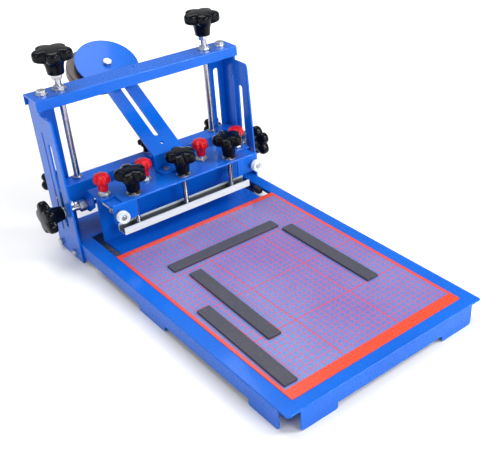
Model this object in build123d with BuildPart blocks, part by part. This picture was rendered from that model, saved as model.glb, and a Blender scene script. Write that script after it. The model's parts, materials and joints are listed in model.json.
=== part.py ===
from build123d import *
import os
from math import cos, radians, sin

# Tabletop one-colour screen printing press with micro-registration.
# Millimetres. X is the width, Y runs from the operator to the back, Z is up.
# The origin is on the table, under the middle of the whole press.

os.makedirs("parts", exist_ok=True)

# ---------------------------------------------------------------- driving dimensions

# base tray, folded from sheet
base_width = 354
base_depth = 602
base_top = 35
tray_sheet = 2
skirt_lift = 10
skirt_corner_gap = 20
foot_length = 60
fold_radius = 1.9

# printing surface
sheet_width = 308
sheet_length = 428
sheet_thickness = 1
sheet_margin_front = 20

# opening in the tray behind the sheet, for the screen shelf
opening_front_gap = 0.5
opening_length = 84

# magnetic register strips
strip_length = 200
strip_width = 21
strip_thickness = 3.5

# uprights
upright_front = 512
upright_foot_front = 500
upright_rear = 585
upright_top = 240
upright_tab_top = 261
upright_sheet = 3
upright_flange = 38
guide_slot_from_front = 533.5
guide_slot_bottom = 55
guide_slot_top = 198
guide_slot_width = 11
pin_slit_from_front = 553
pin_slit_bottom = 41
pin_slit_top = 212
pin_slit_width = 4
flange_slot_x = 161
flange_slot_bottom = 75
flange_slot_top = 220
flange_slot_width = 10

# crossbar channel
crossbar_front = 543.5
crossbar_rear = 587.5
crossbar_top = 264
crossbar_flange = 17
crossbar_half = 183
crossbar_sheet = 2.5

# lift spindles
spindle_x = 132.8
spindle_from_front = 568
spindle_radius = 5
spindle_hub_bottom = 288
running_gap = 0.06
lift_knob_radius = 31
lift_knob_height = 40

# carriage
beam_half = 172.5
beam_front = 551
beam_rear = 581.5
beam_top = 114
beam_flange_bottom = 82
beam_sheet = 2.5
cheek_sheet = 3.9
pivot_from_front = 533.5
pivot_height = 82
pivot_radius = 5
rear_stud_height = 102

# tilting head
head_plate_bottom = 110
head_sheet = 3
head_plate_front = 442.5
head_plate_rear = 518
head_half = 143
red_lock_x = (-128.5, -54.7, 54.7, 128.5)
red_lock_from_front = 487
arm_bend_from_front = 498
arm_bend_height = 141.5
arm_angle = 30
arm_sheet = 4
arm_half = 28
arm_length = 212
arm_slot_start = 36
arm_slot_end = 222
weight_along_arm = 200
weight_radius = 47
weight_thickness = 16
weight_offset_x = -20
weight_offset_along = 5
weight_edge = 2
disc_radius = 54
disc_thickness = 3
disc_lift = 6

# screen holder
holder_half = 140
holder_sheet = 3
holder_plate_top = 109.7
holder_front = 449
web_front = 493
shelf_top = 28
shelf_front = 437
shelf_half = 138
ear_inner_x = 97
ear_outer_x = 138
ear_bottom = 82
screw_x = 128.9
screw_height = 95.5
y_screw_radius = 3

# screen clamp
clamp_x = (-91.8, 0, 91.8)
clamp_from_front = 459
clamp_rod_radius = 4
clamp_hub_bottom = 118
clamp_bar_half = 122.5
clamp_bar_width = 22
clamp_bar_bottom = 53
clamp_bar_height = 12
clamp_bar_wall = 2.5

# the rear edge of the counterweight closes the overall depth
slope_cos = cos(radians(arm_angle))
slope_sin = sin(radians(arm_angle))
rear_extent = (
    sheet_margin_front
    + arm_bend_from_front
    + (weight_along_arm + weight_offset_along + weight_radius) * slope_cos
    + (arm_sheet + weight_thickness) * slope_sin
    - weight_edge * (slope_cos + slope_sin - 1)
)
base_front = -rear_extent / 2
sheet_front = base_front + sheet_margin_front
sides = (("left", -1), ("right", 1))


# ---------------------------------------------------------------- helpers


def behind(distance):
    """Y of a place this far behind the front edge of the grid sheet."""
    return sheet_front + distance


def facing_front(y):
    """Vertical plane at y, seen from the front: local x is X, local y is Z."""
    return Plane(origin=(0, y, 0), x_dir=(1, 0, 0), z_dir=(0, -1, 0))


def facing_right(x):
    """Vertical plane at x, seen from the right: local x is Y, local y is Z."""
    return Plane(origin=(x, 0, 0), x_dir=(0, 1, 0), z_dir=(1, 0, 0))


def save(builder, name):
    """Label a finished piece and write its STEP file."""
    builder.part.label = name
    export_step(builder.part, f"parts/{name}.step")


def star_knob(name, seat, radius, height, bore_radius, bore_depth, lobes=5):
    """A moulded star knob whose hub stands on the origin of the plane seat."""
    head = height * 0.48
    hub_radius = radius * 0.42
    lobe_radius = radius * 1.6 / lobes
    axis = Axis(seat.origin, seat.z_dir)
    with BuildPart() as knob:
        with BuildSketch(seat):
            Circle(hub_radius)
        extrude(amount=height - head + 1, taper=-6)
        with BuildSketch(seat.offset(height - head)):
            Circle(radius * 0.6)
            with PolarLocations(radius - lobe_radius, lobes):
                Circle(lobe_radius)
            fillet(vertices(), radius * 0.4 / lobes)
        extrude(amount=head)
        fillet(knob.faces().sort_by(axis)[-1].edges(), height * 0.09)
        with BuildSketch(seat):
            Circle(bore_radius)
        extrude(amount=bore_depth, mode=Mode.SUBTRACT)
    save(knob, name)


# ---------------------------------------------------------------- base tray

base_middle = base_front + base_depth / 2
base_rear = base_front + base_depth
skirt_top = base_top - fold_radius
side_skirt_start = base_front + skirt_corner_gap
side_feet = (
    (side_skirt_start, side_skirt_start + foot_length),
    (behind(257), behind(328)),
    (behind(upright_foot_front), base_rear),
)

with BuildPart() as base_tray:
    with BuildSketch(Plane.XY.offset(base_top - tray_sheet)) as tray_face:
        with Locations((0, base_middle)):
            Rectangle(base_width, base_depth)
        fillet(tray_face.vertices(), 4)
        with Locations((0, behind(sheet_length + opening_front_gap + opening_length / 2))):
            Rectangle(sheet_width, opening_length, mode=Mode.SUBTRACT)
    extrude(amount=tray_sheet)
    rim = base_tray.faces().sort_by(Axis.Z)[-1].outer_wire().edges()
    fillet(rim, fold_radius)
    # front and rear skirts, each with a foot at both ends
    for face_y, depth in ((base_front, -tray_sheet), (base_rear, tray_sheet)):
        skirt_half = base_width / 2 - skirt_corner_gap
        with BuildSketch(facing_front(face_y)) as skirt:
            with Locations((0, (skirt_lift + skirt_top) / 2)):
                Rectangle(2 * skirt_half, skirt_top - skirt_lift)
            with Locations(*[(s * (skirt_half - foot_length / 2), skirt_lift / 2 + 1) for _, s in sides]):
                Rectangle(foot_length, skirt_lift + 2)
            fillet(skirt.vertices().group_by(Axis.Y)[0], 4)
        extrude(amount=depth)
    # side skirts
    for _, sign in sides:
        with BuildSketch(facing_right(sign * base_width / 2)) as skirt:
            with Locations(((side_skirt_start + base_rear) / 2, (skirt_lift + skirt_top) / 2)):
                Rectangle(base_rear - side_skirt_start, skirt_top - skirt_lift)
            for start, end in side_feet:
                with Locations(((start + end) / 2, skirt_lift / 2 + 1)):
                    Rectangle(end - start, skirt_lift + 2)
            fillet(skirt.vertices().group_by(Axis.Y)[0], 4)
            with Locations(*[(behind(d), 10) for d in (525, 572)]):
                Circle(3.2, mode=Mode.SUBTRACT)
        extrude(amount=-sign * tray_sheet)
save(base_tray, "base_tray")

# ---------------------------------------------------------------- printing surface

with BuildPart() as grid_sheet:
    with BuildSketch(Plane.XY.offset(base_top)):
        with Locations((0, behind(sheet_length / 2))):
            RectangleRounded(sheet_width, sheet_length, 1.5)
    extrude(amount=sheet_thickness)
save(grid_sheet, "grid_sheet")

sheet_top = base_top + sheet_thickness

# name, x from the middle, distance behind the sheet's front edge, turn from straight
strips = (
    ("magnet_strip_rear", -11, 338, 90),
    ("magnet_strip_right", 97.5, 216.5, 0),
    ("magnet_strip_middle", -90.8, 207.5, -1.8),
    ("magnet_strip_left", -134, 122.5, -1.5),
)
for strip_name, strip_x, strip_d, turn in strips:
    with BuildPart() as strip:
        with BuildSketch(Plane.XY.offset(sheet_top)):
            with Locations(Location((strip_x, behind(strip_d)), turn)):
                RectangleRounded(strip_width, strip_length, 1)
        extrude(amount=strip_thickness)
        fillet(strip.faces().sort_by(Axis.Z)[-1].edges(), 0.5)
    save(strip, strip_name)

# ---------------------------------------------------------------- uprights

plate_inner = base_width / 2
plate_outer = plate_inner + upright_sheet
tab_front = crossbar_front + crossbar_sheet
tab_bolt_x = 162.7
tab_bolt_from_front = 565
base_bolt_distances = (525, 572)
base_bolt_height = 10

for side, sign in sides:
    with BuildPart() as upright:
        with BuildSketch(facing_right(sign * plate_inner)) as plate:
            with BuildLine():
                Polyline(
                    (behind(upright_foot_front), 0),
                    (behind(upright_front), upright_top),
                    (behind(tab_front), upright_top),
                    (behind(tab_front), upright_tab_top),
                    (behind(upright_rear), upright_tab_top),
                    (behind(upright_rear), 0),
                    close=True,
                )
            make_face()
            fillet(plate.vertices().sort_by_distance((behind(upright_front), upright_top))[0], 7)
            with Locations((behind(guide_slot_from_front), (guide_slot_bottom + guide_slot_top) / 2)):
                SlotOverall(guide_slot_top - guide_slot_bottom, guide_slot_width, 90, mode=Mode.SUBTRACT)
            with Locations((behind(pin_slit_from_front), (pin_slit_bottom + pin_slit_top) / 2)):
                SlotOverall(pin_slit_top - pin_slit_bottom, pin_slit_width, 90, mode=Mode.SUBTRACT)
            with Locations(*[(behind(d), base_bolt_height) for d in base_bolt_distances]):
                Circle(3.2, mode=Mode.SUBTRACT)
        extrude(amount=sign * upright_sheet)
        # rear flange with the slot for the rear lock
        with BuildSketch(facing_front(behind(upright_rear))):
            with Locations((sign * (plate_outer - upright_flange / 2), upright_top / 2)):
                Rectangle(upright_flange, upright_top)
            with Locations((sign * flange_slot_x, (flange_slot_bottom + flange_slot_top) / 2)):
                SlotOverall(flange_slot_top - flange_slot_bottom, flange_slot_width, 90, mode=Mode.SUBTRACT)
        extrude(amount=upright_sheet)
        # top tab, bolted under the crossbar
        with BuildSketch(Plane.XY.offset(upright_tab_top)):
            with Locations((sign * (plate_outer - 17), behind((tab_front + upright_rear) / 2))):
                Rectangle(34, upright_rear - tab_front)
            with Locations((sign * tab_bolt_x, behind(tab_bolt_from_front))):
                Circle(4.3, mode=Mode.SUBTRACT)
        extrude(amount=-upright_sheet)
        bend = upright.edges().filter_by(Axis.Z).sort_by_distance(
            (sign * plate_outer, behind(upright_rear), upright_top / 2)
        )[0]
        fillet(bend, 2.5)
    save(upright, f"upright_{side}")

with BuildPart() as upright_bolts:
    for _, sign in sides:
        places = [(behind(d), base_bolt_height) for d in base_bolt_distances]
        with BuildSketch(facing_right(sign * plate_outer)):
            with Locations(*places):
                RegularPolygon(6, 6)
        extrude(amount=sign * 4.5)
        with BuildSketch(facing_right(sign * (plate_outer + 1))):
            with Locations(*places):
                Circle(3)
        extrude(amount=-sign * 12)
        with BuildSketch(facing_right(sign * (plate_inner - tray_sheet))):
            with Locations(*places):
                RegularPolygon(6, 6)
        extrude(amount=-sign * 4)
save(upright_bolts, "upright_bolts")

# ---------------------------------------------------------------- crossbar

crossbar_width = crossbar_rear - crossbar_front
crossbar_middle = behind((crossbar_front + crossbar_rear) / 2)

with BuildPart() as crossbar:
    with BuildSketch(facing_right(-crossbar_half)) as section:
        with Locations((crossbar_middle, crossbar_top - crossbar_flange / 2)):
            Rectangle(crossbar_width, crossbar_flange)
        fillet(section.vertices().group_by(Axis.Y)[-1], 2.4)
        with Locations((crossbar_middle, crossbar_top - crossbar_sheet - crossbar_flange / 2)):
            Rectangle(crossbar_width - 2 * crossbar_sheet, crossbar_flange, mode=Mode.SUBTRACT)
    extrude(amount=2 * crossbar_half)
    with BuildSketch(Plane.XY.offset(crossbar_top)):
        with Locations(*[(s * spindle_x, behind(spindle_from_front)) for _, s in sides]):
            Circle(spindle_radius + 0.6)
        with Locations(*[(s * tab_bolt_x, behind(tab_bolt_from_front)) for _, s in sides]):
            Circle(4.3)
        with Locations((0, behind(577))):
            Circle(2)
    extrude(amount=-crossbar_sheet, mode=Mode.SUBTRACT)
save(crossbar, "crossbar")

with BuildPart() as crossbar_bolts:
    places = [(s * tab_bolt_x, behind(tab_bolt_from_front)) for _, s in sides]
    with BuildSketch(Plane.XY.offset(crossbar_top)):
        with Locations(*places):
            Circle(9)
    extrude(amount=1.6)
    with BuildSketch(Plane.XY.offset(crossbar_top + 1.6)):
        with Locations(*places):
            RegularPolygon(7.5, 6)
    extrude(amount=5.5)
    with BuildSketch(Plane.XY.offset(crossbar_top + 1)):
        with Locations(*places):
            Circle(4)
    extrude(amount=-16)
    with BuildSketch(Plane.XY.offset(upright_tab_top - upright_sheet)):
        with Locations(*places):
            RegularPolygon(7.5, 6)
    extrude(amount=-6)
save(crossbar_bolts, "crossbar_bolts")

with BuildPart() as spindle_nuts:
    places = [(s * spindle_x, behind(spindle_from_front)) for _, s in sides]
    with BuildSketch(Plane.XY.offset(crossbar_top)):
        with Locations(*places):
            Circle(11)
            Circle(spindle_radius + running_gap, mode=Mode.SUBTRACT)
    extrude(amount=1.8)
    with BuildSketch(Plane.XY.offset(crossbar_top + 1.8)):
        with Locations(*places):
            RegularPolygon(9, 6)
            Circle(spindle_radius + running_gap, mode=Mode.SUBTRACT)
    extrude(amount=4)
save(spindle_nuts, "spindle_nuts")

# ---------------------------------------------------------------- lift spindles

collar_gap = 0.3
for side, sign in sides:
    centre = (sign * spindle_x, behind(spindle_from_front))
    with BuildPart() as spindle:
        with BuildSketch(Plane.XY.offset(beam_top - 16)):
            with Locations(centre):
                Circle(spindle_radius)
        extrude(amount=spindle_hub_bottom + 20 - (beam_top - 16))
        # collars that hold the beam from above and below
        with BuildSketch(Plane.XY.offset(beam_top + collar_gap)):
            with Locations(centre):
                Circle(8)
        extrude(amount=3)
        with BuildSketch(Plane.XY.offset(beam_top - beam_sheet - collar_gap)):
            with Locations(centre):
                Circle(9)
        extrude(amount=-6)
        # lock nut under the knob
        with BuildSketch(Plane.XY.offset(spindle_hub_bottom - 7)):
            with Locations(centre):
                RegularPolygon(9, 6)
        extrude(amount=7)
    save(spindle, f"spindle_{side}")
    star_knob(
        f"spindle_knob_{side}",
        Plane(origin=(*centre, spindle_hub_bottom)),
        lift_knob_radius,
        lift_knob_height,
        spindle_radius,
        20,
    )

# ---------------------------------------------------------------- carriage

beam_middle = behind((beam_front + beam_rear) / 2)
beam_width = beam_rear - beam_front
stop_from_front = 572

with BuildPart() as carriage_beam:
    with BuildSketch(facing_right(-beam_half)) as section:
        with Locations((beam_middle, (beam_flange_bottom + beam_top) / 2)):
            Rectangle(beam_width, beam_top - beam_flange_bottom)
        fillet(section.vertices().group_by(Axis.Y)[-1], 2.4)
        with Locations((beam_middle, (beam_flange_bottom + beam_top) / 2 - beam_sheet)):
            Rectangle(
                beam_width - 2 * beam_sheet, beam_top - beam_flange_bottom, mode=Mode.SUBTRACT
            )
    extrude(amount=2 * beam_half)
    with BuildSketch(Plane.XY.offset(beam_top)):
        with Locations(*[(s * spindle_x, behind(spindle_from_front)) for _, s in sides]):
            Circle(spindle_radius + running_gap)
        with Locations((0, behind(stop_from_front))):
            Circle(4 + running_gap)
    extrude(amount=-beam_sheet, mode=Mode.SUBTRACT)
    with BuildSketch(facing_front(behind(beam_rear))):
        with Locations(*[(s * flange_slot_x, rear_stud_height) for _, s in sides]):
            Circle(4)
    extrude(amount=beam_sheet, mode=Mode.SUBTRACT)
save(carriage_beam, "carriage_beam")

for side, sign in sides:
    with BuildPart() as cheek:
        with BuildSketch(facing_right(sign * beam_half)) as plate:
            with BuildLine():
                Polyline(
                    (behind(521), beam_top),
                    (behind(beam_rear), beam_top),
                    (behind(beam_rear), beam_flange_bottom),
                    (behind(546), 70),
                    (behind(521), 70),
                    close=True,
                )
            make_face()
            fillet(plate.vertices(), 5)
            with Locations((behind(pivot_from_front), pivot_height)):
                Circle(pivot_radius, mode=Mode.SUBTRACT)
        extrude(amount=sign * cheek_sheet)
        # pin that runs in the narrow slit of the upright
        with BuildSketch(facing_right(sign * (beam_half + 1))):
            with Locations((behind(pin_slit_from_front), 100)):
                Circle(pin_slit_width / 2 - 0.2)
        extrude(amount=sign * (cheek_sheet + upright_sheet))
    save(cheek, f"carriage_cheek_{side}")

# hexagon heads inside, where the cheeks are screwed to the beam's end lugs
with BuildPart() as carriage_bolts:
    for _, sign in sides:
        places = [(behind(539), 104), (behind(526), 95)]
        with BuildSketch(facing_right(sign * beam_half)):
            with Locations(*places):
                RegularPolygon(5.5, 6)
        extrude(amount=-sign * 6)
save(carriage_bolts, "carriage_bolts")

with BuildPart() as pivot_shaft:
    with BuildSketch(facing_right(-207)):
        with Locations((behind(pivot_from_front), pivot_height)):
            Circle(pivot_radius)
    extrude(amount=2 * 207)
save(pivot_shaft, "pivot_shaft")

with BuildPart() as rear_lock_studs:
    with BuildSketch(facing_front(behind(beam_rear - 6))):
        with Locations(*[(s * flange_slot_x, rear_stud_height) for _, s in sides]):
            Circle(4)
    extrude(amount=-30)
save(rear_lock_studs, "rear_lock_studs")

with BuildPart() as lock_washers:
    for _, sign in sides:
        with BuildSketch(facing_right(sign * (plate_outer + 0.3))):
            with Locations((behind(pivot_from_front), pivot_height)):
                Circle(10)
                Circle(pivot_radius, mode=Mode.SUBTRACT)
        extrude(amount=sign * 3)
    with BuildSketch(facing_front(behind(upright_rear + 0.3))):
        with Locations(*[(s * flange_slot_x, rear_stud_height) for _, s in sides]):
            Circle(9)
            Circle(4, mode=Mode.SUBTRACT)
    extrude(amount=-2)
save(lock_washers, "lock_washers")

for side, sign in sides:
    star_knob(
        f"side_lock_knob_{side}",
        Plane(
            origin=(sign * (plate_outer + 3.6), behind(pivot_from_front), pivot_height),
            x_dir=(0, 1, 0),
            z_dir=(sign, 0, 0),
        ),
        28,
        35,
        pivot_radius + running_gap,
        25,
    )
    star_knob(
        f"rear_lock_knob_{side}",
        Plane(
            origin=(sign * flange_slot_x, behind(upright_rear + 2.6), rear_stud_height),
            x_dir=(1, 0, 0),
            z_dir=(0, 1, 0),
        ),
        24,
        30,
        4 + running_gap,
        19,
    )

# stop screw on the beam, which the arm comes down on when the head is up
stop_seat = beam_top + 3.5
with BuildPart() as stop_screw:
    with BuildSketch(Plane.XY.offset(beam_top - 14)):
        with Locations((0, behind(stop_from_front))):
            Circle(4)
    extrude(amount=14 + stop_seat - beam_top + 12)
    with BuildSketch(Plane.XY.offset(beam_top + 0.3)):
        with Locations((0, behind(stop_from_front))):
            RegularPolygon(8, 6)
    extrude(amount=stop_seat - beam_top - 0.3)
save(stop_screw, "stop_screw")
star_knob(
    "stop_knob", Plane(origin=(0, behind(stop_from_front), stop_seat)), 14, 21, 4 + running_gap, 12
)

# ---------------------------------------------------------------- tilting head

x_nut_start = head_half + 0.3
x_nut_length = 11

with BuildPart() as x_adjust_nuts:
    for _, sign in sides:
        with BuildSketch(facing_right(sign * x_nut_start)):
            with Locations((behind(pivot_from_front), pivot_height)):
                RegularPolygon(9.5, 6)
                Circle(pivot_radius + running_gap, mode=Mode.SUBTRACT)
        extrude(amount=sign * x_nut_length)
save(x_adjust_nuts, "x_adjust_nuts")

red_slot_length = 14
red_slot_width = 7
clamp_sleeve_radius = 6
clamp_slot_width = 13
clamp_slot_length = 19
lug_front = 502
notch_x = 119
notch_length = 26
notch_middle = head_plate_front + head_sheet + notch_length / 2
head_plate_top = head_plate_bottom + head_sheet

with BuildPart() as tilt_frame:
    with BuildSketch(Plane.XY.offset(head_plate_bottom)) as plate:
        with Locations((0, behind((head_plate_front + head_plate_rear) / 2))):
            Rectangle(2 * head_half, head_plate_rear - head_plate_front)
        with Locations(*[(x, behind(red_lock_from_front)) for x in red_lock_x]):
            SlotOverall(red_slot_length, red_slot_width, 90, mode=Mode.SUBTRACT)
        with Locations(*[(x, behind(clamp_from_front)) for x in clamp_x]):
            SlotOverall(clamp_slot_length, clamp_slot_width, 90, mode=Mode.SUBTRACT)
        # corner notches above the fore-and-aft screws
        with Locations(*[(s * (notch_x + head_half) / 2, behind(notch_middle)) for _, s in sides]):
            Rectangle(head_half - notch_x, notch_length, mode=Mode.SUBTRACT)
        with Locations(*[(s * (ear_outer_x + head_half) / 2, behind(head_plate_front)) for _, s in sides]):
            Rectangle(head_half - ear_outer_x, 2 * head_sheet + 1, mode=Mode.SUBTRACT)
    extrude(amount=head_sheet)
    # ears folded down at the front, for the fore-and-aft screws
    for _, sign in sides:
        with BuildSketch(facing_front(behind(head_plate_front))):
            with Locations((sign * (ear_inner_x + ear_outer_x) / 2, (ear_bottom + head_plate_top) / 2 - 1)):
                Rectangle(ear_outer_x - ear_inner_x, head_plate_top - ear_bottom - 2)
            with Locations((sign * screw_x, screw_height)):
                Circle(y_screw_radius + 0.3, mode=Mode.SUBTRACT)
        extrude(amount=-head_sheet)
    front_bend = tilt_frame.edges().filter_by(Axis.X).group_by(Axis.Z)[-1].group_by(Axis.Y)[0]
    fillet(front_bend, 2)
    # lugs on the pivot shaft
    for _, sign in sides:
        with BuildSketch(facing_right(sign * head_half)) as lug:
            with BuildLine():
                Polyline(
                    (behind(lug_front), head_plate_top),
                    (behind(head_plate_rear), head_plate_top),
                    (behind(542), 90),
                    (behind(542), 74),
                    (behind(524), 72),
                    (behind(lug_front), 88),
                    close=True,
                )
            make_face()
            fillet(lug.vertices().group_by(Axis.Y)[:-1], 4)
            with Locations((behind(pivot_from_front), pivot_height)):
                Circle(pivot_radius + running_gap, mode=Mode.SUBTRACT)
        extrude(amount=-sign * head_sheet)
save(tilt_frame, "tilt_frame")

# arm plane: local x is X, local y runs up the arm, local z is its upper side
arm_top_plane = Plane(
    origin=(0, behind(arm_bend_from_front), arm_bend_height),
    x_dir=(1, 0, 0),
    z_dir=(0, -slope_sin, slope_cos),
)
foot_top = head_plate_top + arm_sheet
arm_foot_length = 22
arm_bolt_x = 14
arm_bolt_from_front = arm_bend_from_front - 11

with BuildPart() as counterweight_arm:
    with BuildSketch(arm_top_plane):
        with Locations((0, arm_length / 2)):
            Rectangle(2 * arm_half, arm_length)
        with Locations((0, arm_length)):
            Circle(arm_half)
        with Locations((0, (arm_slot_start + arm_slot_end) / 2)):
            SlotOverall(arm_slot_end - arm_slot_start, 8.6, 90, mode=Mode.SUBTRACT)
        with Locations((0, arm_slot_start - 16)):
            Circle(2.6, mode=Mode.SUBTRACT)
    extrude(amount=-arm_sheet)
    with BuildSketch(facing_front(behind(arm_bend_from_front))):
        with Locations((0, (arm_bend_height + foot_top - arm_sheet) / 2)):
            Rectangle(2 * arm_half, arm_bend_height - foot_top + arm_sheet)
    extrude(amount=-arm_sheet)
    with BuildSketch(Plane.XY.offset(foot_top)) as foot:
        with Locations((0, behind(arm_bend_from_front + arm_sheet - (arm_foot_length + arm_sheet) / 2))):
            Rectangle(2 * arm_half, arm_foot_length + arm_sheet)
        fillet(foot.vertices().group_by(Axis.Y)[0], 10)
        with Locations(*[(s * arm_bolt_x, behind(arm_bolt_from_front)) for _, s in sides]):
            Circle(3, mode=Mode.SUBTRACT)
    extrude(amount=-arm_sheet)
save(counterweight_arm, "counterweight_arm")

with BuildPart() as arm_bolts:
    places = [(s * arm_bolt_x, behind(arm_bolt_from_front)) for _, s in sides]
    with BuildSketch(Plane.XY.offset(foot_top)):
        with Locations(*places):
            RegularPolygon(6, 6)
    extrude(amount=4)
    with BuildSketch(Plane.XY.offset(foot_top + 1)):
        with Locations(*places):
            Circle(3)
    extrude(amount=-arm_sheet - 1)
save(arm_bolts, "arm_bolts")

# counterweight: cover disc above the arm, iron puck below it, one bolt through the slot
with BuildPart() as weight_disc:
    with BuildSketch(arm_top_plane.offset(disc_lift)):
        with Locations((0, weight_along_arm)):
            Circle(disc_radius)
            Circle(4, mode=Mode.SUBTRACT)
    extrude(amount=-disc_thickness)
save(weight_disc, "weight_disc")

with BuildPart() as counterweight:
    with BuildSketch(arm_top_plane.offset(-arm_sheet - 0.3)):
        with Locations((weight_offset_x, weight_along_arm + weight_offset_along)):
            Circle(weight_radius)
        with Locations((0, weight_along_arm)):
            Circle(4, mode=Mode.SUBTRACT)
    extrude(amount=0.3 - weight_thickness)
    fillet(counterweight.edges().filter_by(GeomType.CIRCLE).group_by(SortBy.RADIUS)[-1], weight_edge)
save(counterweight, "counterweight")

weight_under = arm_sheet + weight_thickness
with BuildPart() as weight_bolt:
    with BuildSketch(arm_top_plane.offset(disc_lift)):
        with Locations((0, weight_along_arm)):
            RegularPolygon(7.5, 6)
    extrude(amount=5.5)
    with BuildSketch(arm_top_plane.offset(disc_lift + 1)):
        with Locations((0, weight_along_arm)):
            Circle(4)
    extrude(amount=-disc_lift - 1 - weight_under - 9)
    with BuildSketch(arm_top_plane.offset(-weight_under)):
        with Locations((0, weight_along_arm)):
            RegularPolygon(7.5, 6)
    extrude(amount=-6.5)
    # spacer between the disc and the arm
    with BuildSketch(arm_top_plane.offset(disc_lift - disc_thickness)):
        with Locations((0, weight_along_arm)):
            Circle(11)
    extrude(amount=-disc_lift + disc_thickness + 0.3)
save(weight_bolt, "weight_bolt")

# ---------------------------------------------------------------- screen holder

web_rear = web_front + holder_sheet
with BuildPart() as screen_holder:
    with BuildSketch(Plane.XY.offset(holder_plate_top - holder_sheet)):
        with Locations((0, behind((holder_front + web_rear) / 2))):
            Rectangle(2 * ear_outer_x, web_rear - holder_front)
        with Locations(*[(x, behind(clamp_from_front)) for x in clamp_x]):
            Circle(clamp_rod_radius + running_gap, mode=Mode.SUBTRACT)
        with Locations(*[(x, behind(red_lock_from_front)) for x in red_lock_x]):
            Circle(3, mode=Mode.SUBTRACT)
    extrude(amount=holder_sheet)
    with BuildSketch(facing_front(behind(web_front))):
        with Locations((0, (shelf_top + holder_plate_top) / 2 - 1)):
            Rectangle(2 * holder_half, holder_plate_top - shelf_top - 1)
        with Locations(*[(s * screw_x, screw_height) for _, s in sides]):
            Circle(y_screw_radius + running_gap, mode=Mode.SUBTRACT)
    extrude(amount=-holder_sheet)
    with BuildSketch(Plane.XY.offset(shelf_top)):
        with Locations((0, behind((shelf_front + web_rear) / 2))):
            Rectangle(2 * shelf_half, web_rear - shelf_front)
    extrude(amount=-holder_sheet)
save(screen_holder, "screen_holder")

# threaded sleeves of the clamp, which slide with the holder in the slots of the head plate
sleeve_flange_bottom = head_plate_top + 0.3
with BuildPart() as clamp_nuts:
    for radius, bottom, top in (
        (clamp_sleeve_radius, holder_plate_top, sleeve_flange_bottom),
        (12, sleeve_flange_bottom, sleeve_flange_bottom + 1.7),
    ):
        with BuildSketch(Plane.XY.offset(bottom)):
            with Locations(*[(x, behind(clamp_from_front)) for x in clamp_x]):
                Circle(radius)
                Circle(clamp_rod_radius + running_gap, mode=Mode.SUBTRACT)
        extrude(amount=top - bottom)
save(clamp_nuts, "clamp_nuts")

# red locks: studs fixed in the holder, loose washers on the head plate
red_washer_bottom = head_plate_top + 0.3
red_seat = red_washer_bottom + 7
with BuildPart() as red_lock_studs:
    places = [(x, behind(red_lock_from_front)) for x in red_lock_x]
    with BuildSketch(Plane.XY.offset(holder_plate_top - holder_sheet)):
        with Locations(*places):
            Circle(3)
    extrude(amount=red_seat + 14 - holder_plate_top + holder_sheet)
    with BuildSketch(Plane.XY.offset(red_washer_bottom)):
        with Locations(*places):
            Circle(10)
    extrude(amount=2)
    with BuildSketch(Plane.XY.offset(red_washer_bottom + 2)):
        with Locations(*places):
            RegularPolygon(7, 6)
    extrude(amount=red_seat - red_washer_bottom - 2.3)
save(red_lock_studs, "red_lock_studs")

for number, lock_x in enumerate(red_lock_x, start=1):
    star_knob(
        f"red_lock_knob_{number}",
        Plane(origin=(lock_x, behind(red_lock_from_front), red_seat)),
        13.5,
        28,
        3 + running_gap,
        16,
        lobes=6,
    )

# fore-and-aft screws: knurled thumb ring, collars on both faces of the ear, thread in the web
ring_front = 427
ring_rear = 436
ring_radius = 10
ear_rear = head_plate_front + head_sheet
for side, sign in sides:
    with BuildPart() as screw:
        for start, end, radius in (
            (ring_front, web_rear + 12, y_screw_radius),
            (ring_rear, head_plate_front - 0.3, 8.5),
            (ear_rear + 0.3, ear_rear + 3, 7),
            (462, 468, 6.5),
        ):
            with BuildSketch(facing_front(behind(end))):
                with Locations((sign * screw_x, screw_height)):
                    Circle(radius)
            extrude(amount=end - start)
    save(screw, f"y_screw_{side}")
    with BuildPart() as ring:
        with BuildSketch(facing_front(behind(ring_rear))):
            with Locations((sign * screw_x, screw_height)):
                Circle(ring_radius)
                Circle(y_screw_radius, mode=Mode.SUBTRACT)
        extrude(amount=ring_rear - ring_front)
    save(ring, f"y_thumb_ring_{side}")

with BuildPart() as web_nuts:
    with BuildSketch(facing_front(behind(web_rear + 5))):
        with Locations(*[(s * screw_x, screw_height) for _, s in sides]):
            RegularPolygon(6.5, 6)
            Circle(y_screw_radius + running_gap, mode=Mode.SUBTRACT)
    extrude(amount=5)
save(web_nuts, "web_nuts")

# ---------------------------------------------------------------- screen clamp

bar_rear = clamp_from_front + clamp_bar_width / 2
groove = 1.2
with BuildPart() as clamp_bar:
    with BuildSketch(facing_right(-clamp_bar_half)):
        with Locations((behind(clamp_from_front), clamp_bar_bottom + clamp_bar_height / 2)):
            Rectangle(clamp_bar_width, clamp_bar_height)
        with Locations((behind(clamp_from_front), clamp_bar_bottom + clamp_bar_wall + clamp_bar_height / 2)):
            Rectangle(clamp_bar_width - 2 * clamp_bar_wall, clamp_bar_height, mode=Mode.SUBTRACT)
        front_x = behind(clamp_from_front - clamp_bar_width / 2)
        with Locations(*[(front_x, clamp_bar_bottom + h) for h in (4, 8)]):
            Rectangle(groove, groove, mode=Mode.SUBTRACT)
    extrude(amount=2 * clamp_bar_half)
save(clamp_bar, "clamp_bar")

foot_bottom = clamp_bar_bottom + clamp_bar_wall
with BuildPart() as clamp_feet:
    places = [(x, behind(clamp_from_front)) for x in clamp_x]
    with BuildSketch(Plane.XY.offset(foot_bottom)):
        with Locations(*places):
            Circle(8)
    extrude(amount=7)
    fillet(clamp_feet.edges().filter_by(GeomType.CIRCLE).group_by(Axis.Z)[-1], 1.5)
    with BuildSketch(Plane.XY.offset(foot_bottom + 2)):
        with Locations(*places):
            Circle(clamp_rod_radius + running_gap)
    extrude(amount=6, mode=Mode.SUBTRACT)
save(clamp_feet, "clamp_feet")

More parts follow.
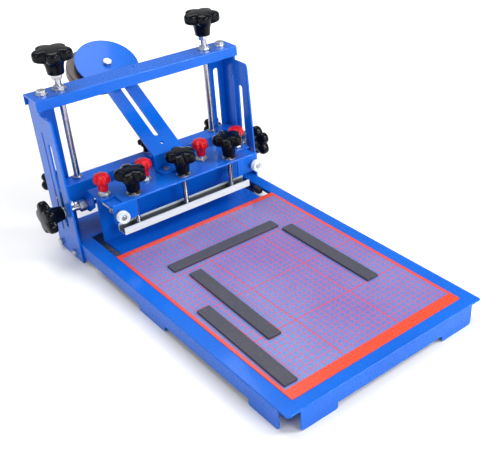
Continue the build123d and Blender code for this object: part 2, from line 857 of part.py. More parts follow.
for clamp_name, centre_x in zip(("left", "middle", "right"), clamp_x):
    with BuildPart() as rod:
        with BuildSketch(Plane.XY.offset(foot_bottom + 2)):
            with Locations((centre_x, behind(clamp_from_front))):
                Circle(clamp_rod_radius)
        extrude(amount=clamp_hub_bottom + 22 - foot_bottom - 2)
    save(rod, f"clamp_rod_{clamp_name}")
    star_knob(
        f"clamp_knob_{clamp_name}",
        Plane(origin=(centre_x, behind(clamp_from_front), clamp_hub_bottom)),
        25.5,
        38,
        clamp_rod_radius,
        22,
    )

# ---------------------------------------------------------------- rest stops

with BuildPart() as rest_stops:
    for _, sign in sides:
        with BuildSketch(Plane.XY.offset(base_top - tray_sheet)):
            with Locations((sign * 152, behind(466))):
                RectangleRounded(10, 18, 3)
        extrude(amount=-10)
save(rest_stops, "rest_stops")
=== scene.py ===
# %% [markdown]
# This lesson finishes a tabletop screen printing press in Blender. The press was built first
# as solid parts, and this file loads them as a fixed frame. Everything is in metres: X is the
# width, Y runs from the operator to the back and Z is up.

# %% Load the frame
import json
from math import cos, pi, radians, sin, sqrt

import bpy
from mathutils import Matrix, Vector


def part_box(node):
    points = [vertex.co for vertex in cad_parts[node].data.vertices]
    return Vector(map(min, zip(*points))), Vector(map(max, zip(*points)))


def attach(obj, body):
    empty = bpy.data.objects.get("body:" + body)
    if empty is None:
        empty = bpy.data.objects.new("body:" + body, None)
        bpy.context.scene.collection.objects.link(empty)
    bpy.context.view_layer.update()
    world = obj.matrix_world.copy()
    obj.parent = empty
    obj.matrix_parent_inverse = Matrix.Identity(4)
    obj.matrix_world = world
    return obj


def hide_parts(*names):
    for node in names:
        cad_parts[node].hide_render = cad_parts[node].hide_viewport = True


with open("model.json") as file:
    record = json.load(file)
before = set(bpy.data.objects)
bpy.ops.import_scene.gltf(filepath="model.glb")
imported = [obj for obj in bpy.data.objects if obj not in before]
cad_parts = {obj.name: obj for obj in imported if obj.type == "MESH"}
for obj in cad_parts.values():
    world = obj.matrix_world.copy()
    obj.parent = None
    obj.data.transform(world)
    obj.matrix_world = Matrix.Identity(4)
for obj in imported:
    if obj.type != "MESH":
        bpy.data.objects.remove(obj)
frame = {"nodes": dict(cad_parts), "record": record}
scene = bpy.context.scene
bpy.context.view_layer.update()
nodes = frame["nodes"]

# %% [markdown]
# The camera stands in front of the press, to its left, and looks down at the printing surface.
# It comes first, so that every later picture is taken from the same place.

# %% Camera
sheet_low, sheet_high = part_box("grid_sheet")
camera_place = (-0.5751, sheet_low[1] - 0.5415, 0.6870)
camera_turn = (55.79, 1.39, -40.43)
camera_lens = 55.84
camera_shift = (-0.1087, 0.0935)

camera_data = bpy.data.cameras.new("camera")
camera_data.lens = camera_lens
camera_data.sensor_width = 36
camera_data.shift_x, camera_data.shift_y = camera_shift
camera = bpy.data.objects.new("camera", camera_data)
camera.location = camera_place
camera.rotation_euler = [radians(turn) for turn in camera_turn]
scene.collection.objects.link(camera)
scene.camera = camera
print("camera is", round(Vector(camera_place).length, 3), "m from the origin")

# %% [markdown]
# Studio light is soft when it comes from something large. A big overhead panel lights the top, a
# low one in front lights the upright faces, a weak one on the left opens the shadows, and a tall
# one to the right puts a line of light on the folds that face the operator. The floor is plain
# and glows a little where it is far away, so that it runs into the white backdrop without an edge.

# %% Light and floor
aim = Vector((0, 0, 0.08))
world_strength = 0.42
floor_size = 40
floor_drop = 0.0005
glow_start, glow_full, glow = 0.5, 1.6, 0.75


def panel(name, place, width, power, tall=1.0):
    """An area light that faces the press; tall is its height over its width."""
    data = bpy.data.lights.new(name, "AREA")
    data.shape = "RECTANGLE"
    data.size = width
    data.size_y = width * tall
    data.energy = power
    lamp = bpy.data.objects.new(name, data)
    lamp.location = place
    lamp.rotation_euler = (aim - Vector(place)).to_track_quat("-Z", "Y").to_euler()
    scene.collection.objects.link(lamp)
    return lamp


panel("overhead_panel", (0.1, 0.8, 1.9), 1.4, 24)
panel("left_panel", (-1.7, -0.2, 0.9), 0.9, 8)
panel("edge_panel", (1.15, -1.2, 1.5), 0.5, 30, tall=2.8)
panel("low_front_panel", (0.2, -1.9, 0.75), 0.8, 17)

# the backdrop itself is white, but it lights the press only gently
world = bpy.data.worlds.new("studio")
world.use_nodes = True
sky = world.node_tree
sky.nodes["Background"].inputs["Color"].default_value = (1, 1, 1, 1)
sky.nodes["Background"].inputs["Strength"].default_value = world_strength
backdrop = sky.nodes.new("ShaderNodeBackground")
seen = sky.nodes.new("ShaderNodeLightPath")
choice = sky.nodes.new("ShaderNodeMixShader")
sky.links.new(seen.outputs["Is Camera Ray"], choice.inputs[0])
sky.links.new(sky.nodes["Background"].outputs[0], choice.inputs[1])
backdrop.inputs["Color"].default_value = (1, 1, 1, 1)
sky.links.new(backdrop.outputs[0], choice.inputs[2])
sky.links.new(choice.outputs[0], sky.nodes["World Output"].inputs["Surface"])
scene.world = world
scene.view_settings.view_transform = "Standard"

bpy.ops.object.select_all(action="DESELECT")
bpy.ops.mesh.primitive_plane_add(size=floor_size, location=(0, 0, -floor_drop))
floor = bpy.context.object
floor.name = "floor"
floor_paint = bpy.data.materials.new("floor_paint")
floor_paint.use_nodes = True
floor_shader = floor_paint.node_tree.nodes["Principled BSDF"]
floor_shader.inputs["Base Color"].default_value = (0.9, 0.9, 0.9, 1)
floor_shader.inputs["Roughness"].default_value = 0.7
floor_nodes = floor_paint.node_tree.nodes
floor_links = floor_paint.node_tree.links
spot = floor_nodes.new("ShaderNodeTexCoord")
far = floor_nodes.new("ShaderNodeVectorMath")
far.operation = "LENGTH"
fade = floor_nodes.new("ShaderNodeMapRange")
fade.inputs["From Min"].default_value = glow_start
fade.inputs["From Max"].default_value = glow_full
fade.inputs["To Max"].default_value = glow
floor_links.new(spot.outputs["Object"], far.inputs[0])
floor_links.new(far.outputs["Value"], fade.inputs["Value"])
floor_links.new(fade.outputs["Result"], floor_shader.inputs["Emission Color"])
floor_shader.inputs["Emission Strength"].default_value = 1
floor.data.materials.append(floor_paint)
print("four panels and a floor are in place")

# %% [markdown]
# No real surface is perfectly even. One shader group gives every finish the same three kinds of
# unevenness: broad blotches, fine grain and dust that settles on what faces up. Each material
# asks for them at its own scale.

# %% Shared surface group
def socket(tree, name, way, kind="NodeSocketFloat", value=None):
    """One named socket on the outside of a group."""
    made = tree.interface.new_socket(name, in_out=way, socket_type=kind)
    if value is not None:
        made.default_value = value
    return made


def node(tree, kind, **settings):
    """A new shader node; settings are its properties."""
    made = tree.nodes.new(kind)
    for key, value in settings.items():
        setattr(made, key, value)
    return made


def noise(tree, vector, scale, detail=3.0):
    """The value of a noise texture on the given coordinates."""
    texture = node(tree, "ShaderNodeTexNoise")
    texture.inputs["Detail"].default_value = detail
    if isinstance(scale, (int, float)):
        texture.inputs["Scale"].default_value = scale
    else:
        tree.links.new(scale, texture.inputs["Scale"])
    tree.links.new(vector, texture.inputs["Vector"])
    return texture.outputs["Fac"]


def math(tree, operation, first, second=0.0):
    """One sum; each side is a number or another node's output."""
    step = node(tree, "ShaderNodeMath", operation=operation)
    for place, value in enumerate((first, second)):
        if isinstance(value, (int, float)):
            step.inputs[place].default_value = value
        else:
            tree.links.new(value, step.inputs[place])
    return step.outputs[0]


def remap(tree, value, low, high, to_low=0.0, to_high=1.0):
    """Stretches the stretch low..high of a value to to_low..to_high."""
    step = node(tree, "ShaderNodeMapRange")
    ends = {"From Min": low, "From Max": high, "To Min": to_low, "To Max": to_high}
    for place, number in ends.items():
        step.inputs[place].default_value = number
    tree.links.new(value, step.inputs["Value"])
    return step.outputs["Result"]


marks = bpy.data.node_groups.new("surface_marks", "ShaderNodeTree")
socket(marks, "Vector", "INPUT", "NodeSocketVector")
socket(marks, "Blotch Scale", "INPUT", value=20.0)
socket(marks, "Grain Scale", "INPUT", value=600.0)
socket(marks, "Blotch", "OUTPUT")
socket(marks, "Grain", "OUTPUT")
socket(marks, "Dust", "OUTPUT")
entry = node(marks, "NodeGroupInput")
leave = node(marks, "NodeGroupOutput")
blotch = noise(marks, entry.outputs["Vector"], entry.outputs["Blotch Scale"])
grain = noise(marks, entry.outputs["Vector"], entry.outputs["Grain Scale"], 2.0)
facing = node(marks, "ShaderNodeSeparateXYZ")
surface = node(marks, "ShaderNodeNewGeometry")
marks.links.new(surface.outputs["Normal"], facing.inputs[0])
upward = remap(marks, facing.outputs["Z"], 0.55, 0.95)
specks = remap(marks, noise(marks, entry.outputs["Vector"], 260.0, 6.0), 0.5, 0.78)
marks.links.new(remap(marks, blotch, 0.3, 0.7), leave.inputs["Blotch"])
marks.links.new(grain, leave.inputs["Grain"])
marks.links.new(math(marks, "MULTIPLY", upward, specks), leave.inputs["Dust"])
print("surface_marks gives", [s.name for s in marks.interface.items_tree if s.in_out == "OUTPUT"])

# %% [markdown]
# A finish is a small recipe: two close colours mixed by the blotches, a roughness that drifts,
# a fine bump, and a little dust. One function lays out that recipe, and each finish calls it
# with its own numbers, so all the differences between paint, zinc and plastic stand in one place.

# %% The recipe for a finish
dust_colour = (0.62, 0.62, 0.6)
first_colour, second_colour, mixed = 6, 7, 2


def mix(tree, amount, first, second):
    """Mixes two colours; each is an RGB triple or an output."""
    step = node(tree, "ShaderNodeMix", data_type="RGBA")
    if isinstance(amount, (int, float)):
        step.inputs[0].default_value = amount
    else:
        tree.links.new(amount, step.inputs[0])
    for place, colour in ((first_colour, first), (second_colour, second)):
        if isinstance(colour, tuple):
            step.inputs[place].default_value = (*colour, 1)
        else:
            tree.links.new(colour, step.inputs[place])
    return step.outputs[mixed]


def finish(name, light, dark, rough, metal=0.0, coat=0.0, blotches=20.0, grains=600.0,
           bump=0.1, depth=0.0001, dust=0.05, stretch=(1, 1, 1), specular=0.5):
    """A finish from two colours, a (low, high) roughness and the scales of its marks."""
    paint = bpy.data.materials.new(name)
    paint.use_nodes = True
    tree = paint.node_tree
    shader = tree.nodes["Principled BSDF"]
    place = node(tree, "ShaderNodeTexCoord")
    scale = node(tree, "ShaderNodeMapping")
    scale.inputs["Scale"].default_value = stretch
    tree.links.new(place.outputs["Object"], scale.inputs["Vector"])
    group = node(tree, "ShaderNodeGroup", node_tree=marks)
    group.inputs["Blotch Scale"].default_value = blotches
    group.inputs["Grain Scale"].default_value = grains
    tree.links.new(scale.outputs[0], group.inputs["Vector"])
    colour = mix(tree, group.outputs["Blotch"], light, dark)
    dusted = mix(tree, math(tree, "MULTIPLY", group.outputs["Dust"], dust), colour, dust_colour)
    tree.links.new(dusted, shader.inputs["Base Color"])
    drift = remap(tree, group.outputs["Grain"], 0.3, 0.7, rough[0], rough[1])
    tree.links.new(drift, shader.inputs["Roughness"])
    raised = node(tree, "ShaderNodeBump")
    raised.inputs["Strength"].default_value = bump
    raised.inputs["Distance"].default_value = depth
    tree.links.new(group.outputs["Grain"], raised.inputs["Height"])
    tree.links.new(raised.outputs[0], shader.inputs["Normal"])
    shader.inputs["Metallic"].default_value = metal
    shader.inputs["Coat Weight"].default_value = coat
    shader.inputs["Coat Roughness"].default_value = 0.08
    shader.inputs["Specular IOR Level"].default_value = specular
    return paint


finishes = {
    "blue_coat": finish("blue_powder_coat", (0.002, 0.128, 0.64), (0.001, 0.104, 0.55), (0.22, 0.32),
                        coat=0.3, blotches=9, grains=900, bump=0.12, dust=0.02, specular=0.12),
    "steel_zinc": finish("bright_zinc", (0.66, 0.67, 0.69), (0.42, 0.43, 0.45), (0.20, 0.36),
                         metal=1, blotches=160, grains=1500, bump=0.12),
    "steel_rod": finish("polished_steel", (0.55, 0.55, 0.57), (0.40, 0.41, 0.43), (0.12, 0.22),
                        metal=1, blotches=60, grains=900, stretch=(1, 1, 6)),
    "aluminium": finish("drawn_aluminium", (0.80, 0.88, 0.90), (0.70, 0.79, 0.82), (0.30, 0.42),
                        metal=0.15, blotches=120, grains=900, stretch=(0.05, 1, 1), bump=0.2),
    "black_knob": finish("black_bakelite", (0.001, 0.002, 0.004), (0.002, 0.003, 0.006), (0.07, 0.14),
                         blotches=60, grains=700, bump=0.05, dust=0.01, specular=0.14),
    "red_knob": finish("red_plastic", (0.62, 0.003, 0.010), (0.50, 0.002, 0.006), (0.24, 0.34),
                       coat=0.05, blotches=90, grains=900, dust=0.01, specular=0.25),
    "iron": finish("brown_lacquered_iron", (0.060, 0.028, 0.022), (0.028, 0.016, 0.015), (0.32, 0.5),
                   coat=0.2, blotches=110, grains=800, bump=0.3, depth=0.0004),
    "rubber": finish("black_rubber", (0.018, 0.018, 0.019), (0.030, 0.030, 0.031), (0.55, 0.75),
                     blotches=150, grains=1400, bump=0.3, depth=0.0002),
    "strip": finish("magnetic_rubber", (0.038, 0.038, 0.058), (0.048, 0.048, 0.072), (0.45, 0.60),
                    blotches=14, grains=1500, bump=0.2, depth=0.0002, dust=0.04),
}
print("finishes:", ", ".join(sorted(finishes)))

# %% [markdown]
# The register sheet is printed: a centimetre grid in red on a blue field inside a plain orange
# border, with a heavier line every ten centimetres. Lines that run dead straight are easiest to
# work out from the position itself, so the pattern needs no picture.

# %% Printed register sheet
grid_left = sheet_low[0] + 0.0038
grid_front = sheet_low[1] + 0.0177
grid_size = (0.300, 0.400)
fine_rule = (0.01, 0.0006)
heavy_rule = (0.1, 0.001)
fine_ink = 0.8
line_red = (0.66, 0.045, 0.07)
border_orange = (0.80, 0.055, 0.018)

ruled = bpy.data.node_groups.new("ruled_lines", "ShaderNodeTree")
socket(ruled, "Position", "INPUT")
socket(ruled, "Spacing", "INPUT", value=0.01)
socket(ruled, "Half Width", "INPUT", value=0.0004)
socket(ruled, "Line", "OUTPUT")
rule_in = node(ruled, "NodeGroupInput")
rule_out = node(ruled, "NodeGroupOutput")
cell = math(ruled, "DIVIDE", rule_in.outputs["Position"], rule_in.outputs["Spacing"])
phase = math(ruled, "FRACT", math(ruled, "ADD", cell, 0.5))
near = math(ruled, "ABSOLUTE", math(ruled, "SUBTRACT", phase, 0.5))
away = math(ruled, "MULTIPLY", near, rule_in.outputs["Spacing"])
ruled.links.new(math(ruled, "LESS_THAN", away, rule_in.outputs["Half Width"]), rule_out.inputs["Line"])


def ruled_mask(tree, position, spacing, half_width):
    """Where the ruled lines of one direction are."""
    group = node(tree, "ShaderNodeGroup", node_tree=ruled)
    tree.links.new(position, group.inputs["Position"])
    group.inputs["Spacing"].default_value = spacing
    group.inputs["Half Width"].default_value = half_width
    return group.outputs["Line"]


def within(tree, position, low, high):
    """1 between low and high, 0 outside."""
    over = math(tree, "GREATER_THAN", position, low)
    under = math(tree, "LESS_THAN", position, high)
    return math(tree, "MULTIPLY", over, under)


def opened(paint):
    """What a pattern needs of a finish: its tree, shader, plain colour and position."""
    tree = paint.node_tree
    shader = tree.nodes["Principled BSDF"]
    plain = shader.inputs["Base Color"].links[0].from_socket
    apart = node(tree, "ShaderNodeSeparateXYZ")
    where = next(n for n in tree.nodes if n.bl_idname == "ShaderNodeTexCoord")
    tree.links.new(where.outputs["Object"], apart.inputs[0])
    return tree, shader, plain, apart.outputs


printed = finish("printed_register_sheet", (0.13, 0.23, 0.53), (0.12, 0.13, 0.42), (0.24, 0.36),
                 coat=0.2, blotches=7, grains=500, bump=0.05, dust=0.06)
tree, shader, field, at = opened(printed)
across = math(tree, "SUBTRACT", at["X"], grid_left)
along = math(tree, "SUBTRACT", at["Y"], grid_front)
fine, heavy = (
    math(tree, "MAXIMUM", ruled_mask(tree, across, *rule), ruled_mask(tree, along, *rule))
    for rule in (fine_rule, heavy_rule)
)
lines = math(tree, "MAXIMUM", math(tree, "MULTIPLY", fine, fine_ink), heavy)
lined = mix(tree, lines, field, line_red)
inside_x = within(tree, across, 0.0, grid_size[0])
inside_y = within(tree, along, 0.0, grid_size[1])
inside = math(tree, "MULTIPLY", inside_x, inside_y)
tree.links.new(mix(tree, inside, border_orange, lined), shader.inputs["Base Color"])
nodes["grid_sheet"].data.materials.clear()
nodes["grid_sheet"].data.materials.append(printed)
print("grid starts at", round(grid_left, 4), round(grid_front, 4))

# %% [markdown]
# The clamp bar is a drawn channel. Its inside lies in shade, and that shade is painted:
# the same mask of two positions darkens everything below the lips to a painted shade colour.

# %% Clamp bar
bar_low, bar_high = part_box("clamp_bar")
lip = 0.0022
# painted shade in the channel: how far below the top it starts and is full, the floor it stops above,
# its colour and strength
shade_start_depth, shade_full_depth, sole = 0.0006, 0.0040, 0.0010
painted_shade_colour, painted_shade_cover = (0.03, 0.035, 0.045), 0.93
bar_finish = finish("clamp_bar_aluminium_painted_shade", (0.80, 0.88, 0.90), (0.70, 0.79, 0.82), (0.30, 0.42),
                    metal=0.15, blotches=120, grains=900, stretch=(0.05, 1, 1), bump=0.2)
tree, shader, unshaded_colour, at = opened(bar_finish)
between = within(tree, at["Y"], bar_low[1] + lip, bar_high[1] - lip)
below = remap(tree, at["Z"], bar_high[2] - shade_start_depth, bar_high[2] - shade_full_depth)
above = math(tree, "GREATER_THAN", at["Z"], bar_low[2] + sole)
# the mask of painted shade: between the lips, below the rim and above the floor
shade = math(tree, "MULTIPLY", math(tree, "MULTIPLY", between, below), above)
cover = math(tree, "MULTIPLY", shade, painted_shade_cover)
tree.links.new(mix(tree, cover, unshaded_colour, painted_shade_colour), shader.inputs["Base Color"])
print("clamp bar channel is", round(bar_high[1] - bar_low[1] - 2 * lip, 4), "m wide")

# %% [markdown]
# Every solid piece starts with the finish that the record names for it. Pieces that get a
# detailed stand-in later hand the same finish on.

# %% Finishes on the solid pieces
slot_of = {part["node"]: part["material_slot"] for part in frame["record"]["subparts"]}
for name, item in nodes.items():
    if name != "grid_sheet":
        item.data.materials.clear()
        item.data.materials.append(bar_finish if name == "clamp_bar" else finishes[slot_of[name]])
print("painted", len(slot_of) - 1, "pieces")

# %% [markdown]
# Folded steel never has a knife edge: paint builds up on it and it catches the light. A copy of
# each sheet piece is merged, cleared of flat seams and given a narrow bevel. The bevel modifier
# finds every sharp edge by its angle, so one function serves all of them.

# %% Rounded edges for sheet metal
sharp_angle = 38
sheet_edge, hardware_edge, strip_edge = 0.0006, 0.0004, 0.0003


def only(piece):
    """Selects one piece and nothing else."""
    bpy.ops.object.select_all(action="DESELECT")
    piece.select_set(True)
    bpy.context.view_layer.objects.active = piece


def applied(piece, kind, **settings):
    """Adds one modifier with its settings and applies it."""
    only(piece)
    modifier = piece.modifiers.new(kind.lower(), kind)
    for key, value in settings.items():
        setattr(modifier, key, value)
    bpy.ops.object.modifier_apply(modifier=modifier.name)


def smooth(piece, angle=sharp_angle):
    """Smooth shading except across sharp edges."""
    only(piece)
    bpy.ops.object.shade_smooth_by_angle(angle=radians(angle))


body_of = {n: body for body, members in frame["record"]["behaviour"]["bodies"].items() for n in members}


def stands_for(piece, *names):
    """The piece takes the place, body and finish of these solid pieces."""
    piece.data.materials.clear()
    piece.data.materials.append(finishes[slot_of[names[0]]])
    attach(piece, body_of[names[0]])
    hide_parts(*names)


def softened(name, width):
    """A copy of a solid piece with small rounded edges, which stands for it."""
    bpy.ops.object.select_all(action="DESELECT")
    piece = bpy.data.objects.new(name + "_finished", nodes[name].data.copy())
    scene.collection.objects.link(piece)
    only(piece)
    bpy.ops.mesh.customdata_custom_splitnormals_clear()
    bpy.ops.object.mode_set(mode="EDIT")
    bpy.ops.mesh.select_all(action="SELECT")
    bpy.ops.mesh.remove_doubles(threshold=0.000001)
    bpy.ops.mesh.dissolve_limited(angle_limit=radians(0.6))
    bpy.ops.object.mode_set(mode="OBJECT")
    applied(piece, "BEVEL", width=width, segments=2, limit_method="ANGLE",
            angle_limit=radians(sharp_angle))
    smooth(piece)
    applied(piece, "WEIGHTED_NORMAL", keep_sharp=True, weight=100)
    stands_for(piece, name)
    return piece


sheet_pieces = (
    "base_tray", "upright_left", "upright_right", "crossbar", "carriage_beam", "tilt_frame",
    "counterweight_arm", "screen_holder", "weight_disc", "carriage_cheek_left", "carriage_cheek_right",
)
for name in sheet_pieces:
    made = softened(name, sheet_edge)
    print(name, len(made.data.polygons), "faces")
for name in ("magnet_strip_rear", "magnet_strip_right", "magnet_strip_middle", "magnet_strip_left"):
    softened(name, strip_edge)
bar = softened("clamp_bar", strip_edge)
bar.data.materials[0] = bar_finish
hardware = (
    "crossbar_bolts", "upright_bolts", "spindle_nuts", "lock_washers", "arm_bolts", "weight_bolt",
    "carriage_bolts", "x_adjust_nuts", "clamp_nuts", "web_nuts", "red_lock_studs", "stop_screw",
    "clamp_feet", "rest_stops", "spindle_left", "spindle_right",
)
for name in hardware:
    softened(name, hardware_edge)
print(len(hardware), "pieces of hardware have chamfered edges")

# %% [markdown]
# Knobs, rings, washers and rods are all turned shapes: a circle that is drawn upwards and
# changes its radius as it goes. Extruding one face again and again, and resizing it each time,
# is the lathe of edit mode. The list of rings is the drawing of the piece.

# %% A lathe made of extrusions
def turned(name, rings, sides=48):
    """A closed turned piece; rings are (radius, height) pairs from the bottom up."""
    bpy.ops.object.select_all(action="DESELECT")
    radius, height = rings[0]
    bpy.ops.mesh.primitive_circle_add(vertices=sides, radius=radius, fill_type="NGON",
                                      location=(0, 0, height))
    piece = bpy.context.object
    piece.name = name
    bpy.ops.object.transform_apply(location=True, rotation=True, scale=True)
    bpy.ops.object.mode_set(mode="EDIT")
    bpy.ops.mesh.select_all(action="SELECT")
    for next_radius, next_height in rings[1:]:
        bpy.ops.mesh.extrude_region_move(TRANSFORM_OT_translate={"value": (0, 0, next_height - height)})
        ratio = next_radius / radius
        bpy.ops.transform.resize(value=(ratio, ratio, 1), center_override=(0, 0, next_height))
        radius, height = next_radius, next_height
    bpy.ops.mesh.select_all(action="SELECT")
    bpy.ops.mesh.normals_make_consistent(inside=False)
    bpy.ops.object.mode_set(mode="OBJECT")
    return piece


def copy_of(piece, name):
    """Another piece of the same shape, with a mesh of its own."""
    twin = piece.copy()
    twin.data = piece.data.copy()
    twin.name = name
    scene.collection.objects.link(twin)
    return twin


def seated(piece, place, axis=(0, 0, 1), scale=(1, 1, 1), spin=0.0):
    """Puts the mesh where it belongs: its foot on place, its height along axis."""
    turn = Vector((0, 0, 1)).rotation_difference(Vector(axis)).to_matrix().to_4x4()
    spin_turn = Matrix.Rotation(radians(spin), 4, "Z")
    size = Matrix.Diagonal((*scale, 1))
    piece.data.transform(Matrix.Translation(place) @ turn @ spin_turn @ size)
    piece.data.update()
    return piece


# %% [markdown]
# A star knob has five fat fingers on a conical hub. It is turned first as a plain mushroom, and
# then each point of the head is moved in or out to the outline of the star: a circle for the
# middle and one circle for each finger, blended where they meet. It is modelled once at unit
# size, and copies are stretched to each screw.

# %% Star knob
blend = 14.0  # how tightly fingers and middle flow together
rim = 0.85  # past this radius the outline applies in full


def star_radius(angle, fingers, finger_size, core):
    """How far out the outline of a star is in this direction, where the finger tips are at 1."""
    middle = 1 - finger_size
    step = 2 * pi / fingers
    off = (angle + step / 2) % step - step / 2
    reach = finger_size**2 - (middle * sin(off)) ** 2
    finger = middle * cos(off) + sqrt(reach) if reach > 0 else 0.0
    return (core**blend + finger**blend) ** (1 / blend)


def starred(piece, fingers, finger_size, core, from_height, inner=0.0):
    """Pushes the points above a height from a circle to a star outline."""
    for point in piece.data.vertices:
        flat = Vector((point.co.x, point.co.y))
        if point.co.z >= from_height and flat.length > inner:
            angle = Vector((1, 0)).angle_signed(flat)
            factor = star_radius(angle, fingers, finger_size, core)
            ease = min(1.0, (flat.length - inner) / (rim - inner))
            factor = 1 + (factor - 1) * ease
            point.co.x *= factor
            point.co.y *= factor


knob_rings = (
    (0.36, 0.0), (0.40, 0.012), (0.42, 0.06), (0.45, 0.28), (0.50, 0.42), (0.58, 0.49),
    (0.84, 0.54), (0.95, 0.58), (0.99, 0.63), (1.0, 0.70), (1.0, 0.80), (0.985, 0.865), (0.95, 0.91),
    (0.88, 0.945), (0.76, 0.965), (0.58, 0.98), (0.38, 0.993), (0.18, 1.0), (0.02, 1.0),
)
star = turned("star_knob_pattern", knob_rings, sides=120)
starred(star, 5, 0.36, 0.68, 0.45, inner=0.40)
smooth(star, 50)


def knob_at(name, radius, place, axis, height, spin=0.0):
    """A star knob of its own size in place of the plain one."""
    piece = copy_of(star, name + "_moulded")
    seated(piece, place, axis, (radius, radius, height), spin)
    stands_for(piece, name)
    return piece


def middle_of(name):
    """The middle of a solid piece's box."""
    low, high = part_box(name)
    return Vector([(a + b) / 2 for a, b in zip(low, high)])


def low_high(name, axis):
    """The lowest and highest value of a solid piece along one axis."""
    low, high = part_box(name)
    return low[axis], high[axis]


rods = {
    "spindle_knob_left": "spindle_left", "spindle_knob_right": "spindle_right",
    "clamp_knob_left": "clamp_rod_left", "clamp_knob_middle": "clamp_rod_middle",
    "clamp_knob_right": "clamp_rod_right", "stop_knob": "stop_screw",
}
sizes = {  # radius and the turn that the knob was left at, in degrees
    "spindle": (0.031, 34), "clamp": (0.0255, 10), "stop": (0.014, 0),
    "side": (0.028, 20), "rear": (0.019, 10),
}
rear_stud_x = 0.161
for name, rod in rods.items():
    radius, spin = sizes[name.split("_")[0]]
    centre = middle_of(rod)
    low, high = low_high(name, 2)
    knob_at(name, radius, (centre.x, centre.y, low), (0, 0, 1), high - low, spin)
    print(name, "stands at height", round(low, 4))

shaft = middle_of("pivot_shaft")
stud = middle_of("rear_lock_studs")
for side, sign in (("left", -1), ("right", 1)):
    name = "side_lock_knob_" + side
    radius, spin = sizes["side"]
    low, high = low_high(name, 0)
    seat = high if sign < 0 else low
    knob_at(name, radius, (seat, shaft.y, shaft.z), (sign, 0, 0), high - low, spin)
    name = "rear_lock_knob_" + side
    radius, spin = sizes["rear"]
    low, high = low_high(name, 1)
    knob_at(name, radius, (sign * rear_stud_x, low, stud.z), (0, 1, 0), high - low, spin)
bpy.data.objects.remove(star)

# %% [markdown]
# The red knobs are smaller: a tapered stem that opens into a rounded cap with six shallow
# flutes. The same lathe and the same outline make them, with fatter fingers.

# %% Red knobs
red_rings = (
    (0.52, 0.0), (0.54, 0.02), (0.56, 0.10), (0.60, 0.32), (0.68, 0.42), (0.84, 0.48), (0.95, 0.53),
    (1.0, 0.60), (1.0, 0.72), (0.975, 0.82), (0.92, 0.90), (0.80, 0.955), (0.60, 0.985), (0.30, 1.0),
    (0.02, 1.0),
)
red_radius = 0.0135
turn_between = 17
red = turned("red_knob_pattern", red_rings, sides=112)
starred(red, 7, 0.27, 0.80, 0.2, inner=0.5)
smooth(red, 60)
for number in range(1, 5):
    name = f"red_lock_knob_{number}"
    low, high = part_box(name)
    piece = copy_of(red, name + "_moulded")
    seated(piece, (middle_of(name).x, middle_of("red_lock_studs").y, low[2]),
           scale=(red_radius, red_radius, high[2] - low[2]), spin=number * turn_between)
    stands_for(piece, name)
bpy.data.objects.remove(red)
print("four red knobs")

# %% [markdown]
# Threads show on every screw of a press like this. At this size nobody can tell a helix from a
# stack of fine rings, and rings come straight from the lathe, so a thread is a zigzag of radii.

# %% Threaded rods
def thread(radius, start, end, pitch):
    """Rings of a thread from start to end."""
    depth = pitch * 0.45
    count = int((end - start) / pitch)
    rings = []
    for turn in range(count):
        foot = start + turn * pitch
        rings += [(radius - depth, foot), (radius, foot + pitch * 0.4), (radius, foot + pitch * 0.6)]
    rings.append((radius - depth, start + count * pitch))
    return rings


rod_radius, rod_root, rod_pitch = 0.004, 0.0036, 0.00125
plain_length, knob_bite, lead_in = 0.022, 0.004, 0.0005
for side in ("left", "middle", "right"):
    rod_name = "clamp_rod_" + side
    low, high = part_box(rod_name)
    centre = middle_of(rod_name)
    plain = high[2] - plain_length
    rings = [(rod_root, low[2])] + thread(rod_radius, low[2] + lead_in, plain, rod_pitch)
    rings += [(rod_radius, plain), (rod_radius, high[2] - knob_bite)]
    piece = turned(rod_name + "_threaded", rings, sides=28)
    seated(piece, (centre.x, centre.y, 0))
    smooth(piece, 30)
    stands_for(piece, rod_name)
print("clamp rods are threaded")

# %% [markdown]
# Each fore-and-aft screw is a threaded rod with a collar on both faces of its ear, so that it can
# turn but not slip, and a lock nut behind. The front end is slotted for a screwdriver. The slot is
# cut with a thin block and a boolean, which leaves clean edges.

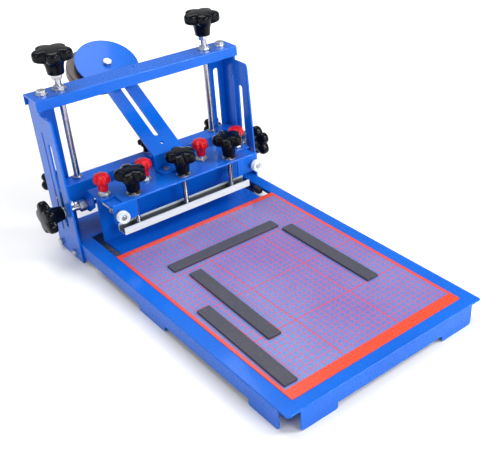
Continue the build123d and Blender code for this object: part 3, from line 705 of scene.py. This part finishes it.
# %% Fore-and-aft screws
screw_radius, screw_pitch = 0.003, 0.001
gap, chamfer, chamfer_height, end_chamfer = 0.0002, 0.0005, 0.0006, 0.0004
slot_size = (0.012, 0.0012, 0.0036)
collars = ((0.0090, 0.0152, 0.0085), (0.0188, 0.0215, 0.0070), (0.0350, 0.0410, 0.0065))
for side in ("left", "right"):
    name = "y_screw_" + side
    low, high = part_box(name)
    centre = middle_of(name)
    length = high[1] - low[1]
    rings = [(0.0001, 0.0), (screw_radius, 0.0)]
    reached = gap
    for start, end, radius in collars:
        rings += thread(screw_radius, reached, start - lead_in, screw_pitch)
        rings += [(screw_radius, start), (radius - chamfer, start), (radius, start + chamfer_height)]
        rings += [(radius, end - chamfer_height), (radius - chamfer, end), (screw_radius, end)]
        reached = end + gap
    rings += thread(screw_radius, reached, length - screw_pitch, screw_pitch)
    rings.append((screw_radius - end_chamfer, length))
    piece = turned(name + "_threaded", rings, sides=30)
    bpy.ops.object.select_all(action="DESELECT")
    bpy.ops.mesh.primitive_cube_add(size=1, location=(0, 0, 0), scale=slot_size)
    cutter = bpy.context.object
    bpy.ops.object.transform_apply(location=True, rotation=True, scale=True)
    applied(piece, "BOOLEAN", object=cutter, operation="DIFFERENCE", solver="EXACT")
    bpy.data.objects.remove(cutter)
    seated(piece, (centre.x, low[1], centre.z), axis=(0, 1, 0))
    smooth(piece, 30)
    stands_for(piece, name)
    print(name, len(piece.data.polygons), "faces")

# %% [markdown]
# The thumb rings of the fore-and-aft screws are knurled so that fingers can turn them by a hair.
# Every other point of the rim is pulled in a little, a groove runs round the middle, and a dished
# face leads into the bore.

# %% Knurled thumb rings
ring_rings = (
    (0.0033, 0.0), (0.0095, 0.0), (0.0100, 0.0006), (0.0100, 0.0034), (0.0086, 0.0040),
    (0.0086, 0.0048), (0.0100, 0.0054), (0.0100, 0.0082), (0.0094, 0.0090), (0.0068, 0.0090),
    (0.0060, 0.0080), (0.0047, 0.0080), (0.0040, 0.0040),
)
ring_sides, knurl_from, knurl = 80, 0.0095, 0.95
knurled = turned("thumb_ring_pattern", ring_rings, sides=ring_sides)
for point in knurled.data.vertices:
    flat = Vector((point.co.x, point.co.y))
    index = round(Vector((1, 0)).angle_signed(flat) / (2 * pi / ring_sides))
    if flat.length > knurl_from and index % 2:
        point.co.x *= knurl
        point.co.y *= knurl
smooth(knurled, 30)
for side in ("left", "right"):
    name = "y_thumb_ring_" + side
    low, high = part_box(name)
    centre = middle_of(name)
    piece = copy_of(knurled, name + "_knurled")
    seated(piece, (centre.x, high[1], centre.z), axis=(0, -1, 0))
    stands_for(piece, name)
bpy.data.objects.remove(knurled)
print("two knurled rings")
